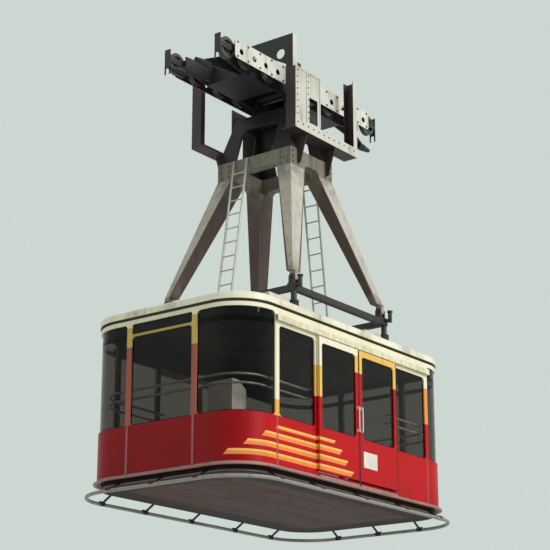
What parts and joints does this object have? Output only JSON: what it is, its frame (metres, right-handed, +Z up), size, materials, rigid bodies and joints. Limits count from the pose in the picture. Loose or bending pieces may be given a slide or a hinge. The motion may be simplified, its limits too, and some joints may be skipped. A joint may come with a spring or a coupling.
{
  "type": "cable car cabin",
  "caption": "Large aerial cable car cabin with sliding doors, a four-legged hanger with ladders and service platforms, and a wheeled carriage for two track ropes.",
  "frame": {"origin": "midway between the two track ropes at the height of their centre lines, above the middle of the cabin", "axes": "+Z up, +Y along the ropes away from the cabin's front end, +X to the right when facing along +Y"},
  "size_m": [3.374, 5.734, 7.587],
  "materials": {
    "cabin_paint": "gloss red with yellow and cream above",
    "roof_cream": "gloss cream",
    "floor_grey": "studded rubber",
    "underside_brown": "dull brown",
    "glass": "clear",
    "handrail_steel": "satin",
    "console_white": "satin",
    "rail_paint": "gloss yellow",
    "hanger_grey": "satin light grey",
    "carriage_brown": "dull maroon brown",
    "outrigger_grey": "satin light grey",
    "dark_steel": "dull dark brown",
    "galvanised_steel": "galvanised",
    "bright_steel": "machined",
    "wheel_steel": "dark, worn bright in the groove",
    "buffer_rubber": "black"
  },
  "bodies": {
    "carriage": {"carriage_frame": "carriage_brown", "side_plates": "outrigger_grey", "pivot_pin": "bright_steel", "rockers": "carriage_brown", "rope_guides": "carriage_brown", "outriggers": "outrigger_grey", "haul_sockets": "dark_steel"},
    "cabin": {"floor": "floor_grey", "belly_pan": "underside_brown", "roof": "roof_cream", "roof_hoods": "roof_cream", "wall_front": "cabin_paint", "wall_rear": "cabin_paint", "wall_right": "cabin_paint", "wall_left": "cabin_paint", "glass_ends": "glass", "glass_sides": "glass", "guard_ring": "dark_steel", "handrails": "handrail_steel", "console": "console_white", "door_rails": "rail_paint", "roof_frame": "dark_steel", "roof_buffers": "buffer_rubber", "hanger_legs": "hanger_grey", "leg_feet": "dark_steel", "head_frame": "hanger_grey", "neck": "carriage_brown", "platforms": "carriage_brown", "ladders": "galvanised_steel"},
    "leaf_right_front": {"door_right_front": "cabin_paint", "door_glass_right_front": "glass"},
    "leaf_right_rear": {"door_right_rear": "cabin_paint", "door_glass_right_rear": "glass"},
    "leaf_left_front": {"door_left_front": "cabin_paint", "door_glass_left_front": "glass"},
    "leaf_left_rear": {"door_left_rear": "cabin_paint", "door_glass_left_rear": "glass"},
    "wheel_right_1": {"wheel_right_1": "wheel_steel"},
    "wheel_right_2": {"wheel_right_2": "wheel_steel"},
    "wheel_right_3": {"wheel_right_3": "wheel_steel"},
    "wheel_right_4": {"wheel_right_4": "wheel_steel"},
    "wheel_right_5": {"wheel_right_5": "wheel_steel"},
    "wheel_right_6": {"wheel_right_6": "wheel_steel"},
    "wheel_right_7": {"wheel_right_7": "wheel_steel"},
    "wheel_right_8": {"wheel_right_8": "wheel_steel"},
    "wheel_left_1": {"wheel_left_1": "wheel_steel"},
    "wheel_left_2": {"wheel_left_2": "wheel_steel"},
    "wheel_left_3": {"wheel_left_3": "wheel_steel"},
    "wheel_left_4": {"wheel_left_4": "wheel_steel"},
    "wheel_left_5": {"wheel_left_5": "wheel_steel"},
    "wheel_left_6": {"wheel_left_6": "wheel_steel"},
    "wheel_left_7": {"wheel_left_7": "wheel_steel"},
    "wheel_left_8": {"wheel_left_8": "wheel_steel"}
  },
  "joints": [
    {"name": "hanger_swing", "type": "hinge", "parent": "carriage", "child": "cabin", "pos_m": [0, 0, 0.18], "axis": [1, 0, 0], "range_deg": [-25, 25]},
    {"name": "door_right_front_slide", "type": "slide", "parent": "cabin", "child": "leaf_right_front", "axis": [0, -1, 0], "range_m": [0, 0.95]},
    {"name": "door_right_rear_slide", "type": "slide", "parent": "cabin", "child": "leaf_right_rear", "axis": [0, 1, 0], "range_m": [0, 0.95]},
    {"name": "door_left_front_slide", "type": "slide", "parent": "cabin", "child": "leaf_left_front", "axis": [0, -1, 0], "range_m": [0, 0.95]},
    {"name": "door_left_rear_slide", "type": "slide", "parent": "cabin", "child": "leaf_left_rear", "axis": [0, 1, 0], "range_m": [0, 0.95]},
    {"name": "wheel_right_1_spin", "type": "hinge", "parent": "carriage", "child": "wheel_right_1", "pos_m": [0.5, -1.92, 0.1725], "axis": [1, 0, 0], "continuous": true},
    {"name": "wheel_right_2_spin", "type": "hinge", "parent": "carriage", "child": "wheel_right_2", "pos_m": [0.5, -1.42, 0.1725], "axis": [1, 0, 0], "continuous": true},
    {"name": "wheel_right_3_spin", "type": "hinge", "parent": "carriage", "child": "wheel_right_3", "pos_m": [0.5, -0.82, 0.1725], "axis": [1, 0, 0], "continuous": true},
    {"name": "wheel_right_4_spin", "type": "hinge", "parent": "carriage", "child": "wheel_right_4", "pos_m": [0.5, -0.32, 0.1725], "axis": [1, 0, 0], "continuous": true},
    {"name": "wheel_right_5_spin", "type": "hinge", "parent": "carriage", "child": "wheel_right_5", "pos_m": [0.5, 0.32, 0.1725], "axis": [1, 0, 0], "continuous": true},
    {"name": "wheel_right_6_spin", "type": "hinge", "parent": "carriage", "child": "wheel_right_6", "pos_m": [0.5, 0.82, 0.1725], "axis": [1, 0, 0], "continuous": true},
    {"name": "wheel_right_7_spin", "type": "hinge", "parent": "carriage", "child": "wheel_right_7", "pos_m": [0.5, 1.42, 0.1725], "axis": [1, 0, 0], "continuous": true},
    {"name": "wheel_right_8_spin", "type": "hinge", "parent": "carriage", "child": "wheel_right_8", "pos_m": [0.5, 1.92, 0.1725], "axis": [1, 0, 0], "continuous": true},
    {"name": "wheel_left_1_spin", "type": "hinge", "parent": "carriage", "child": "wheel_left_1", "pos_m": [-0.5, -1.92, 0.1725], "axis": [1, 0, 0], "continuous": true},
    {"name": "wheel_left_2_spin", "type": "hinge", "parent": "carriage", "child": "wheel_left_2", "pos_m": [-0.5, -1.42, 0.1725], "axis": [1, 0, 0], "continuous": true},
    {"name": "wheel_left_3_spin", "type": "hinge", "parent": "carriage", "child": "wheel_left_3", "pos_m": [-0.5, -0.82, 0.1725], "axis": [1, 0, 0], "continuous": true},
    {"name": "wheel_left_4_spin", "type": "hinge", "parent": "carriage", "child": "wheel_left_4", "pos_m": [-0.5, -0.32, 0.1725], "axis": [1, 0, 0], "continuous": true},
    {"name": "wheel_left_5_spin", "type": "hinge", "parent": "carriage", "child": "wheel_left_5", "pos_m": [-0.5, 0.32, 0.1725], "axis": [1, 0, 0], "continuous": true},
    {"name": "wheel_left_6_spin", "type": "hinge", "parent": "carriage", "child": "wheel_left_6", "pos_m": [-0.5, 0.82, 0.1725], "axis": [1, 0, 0], "continuous": true},
    {"name": "wheel_left_7_spin", "type": "hinge", "parent": "carriage", "child": "wheel_left_7", "pos_m": [-0.5, 1.42, 0.1725], "axis": [1, 0, 0], "continuous": true},
    {"name": "wheel_left_8_spin", "type": "hinge", "parent": "carriage", "child": "wheel_left_8", "pos_m": [-0.5, 1.92, 0.1725], "axis": [1, 0, 0], "continuous": true}
  ],
  "couplings": [
    {"joint": "door_right_rear_slide", "follows": "door_right_front_slide", "ratio": 1},
    {"joint": "door_left_rear_slide", "follows": "door_left_front_slide", "ratio": 1}
  ]
}
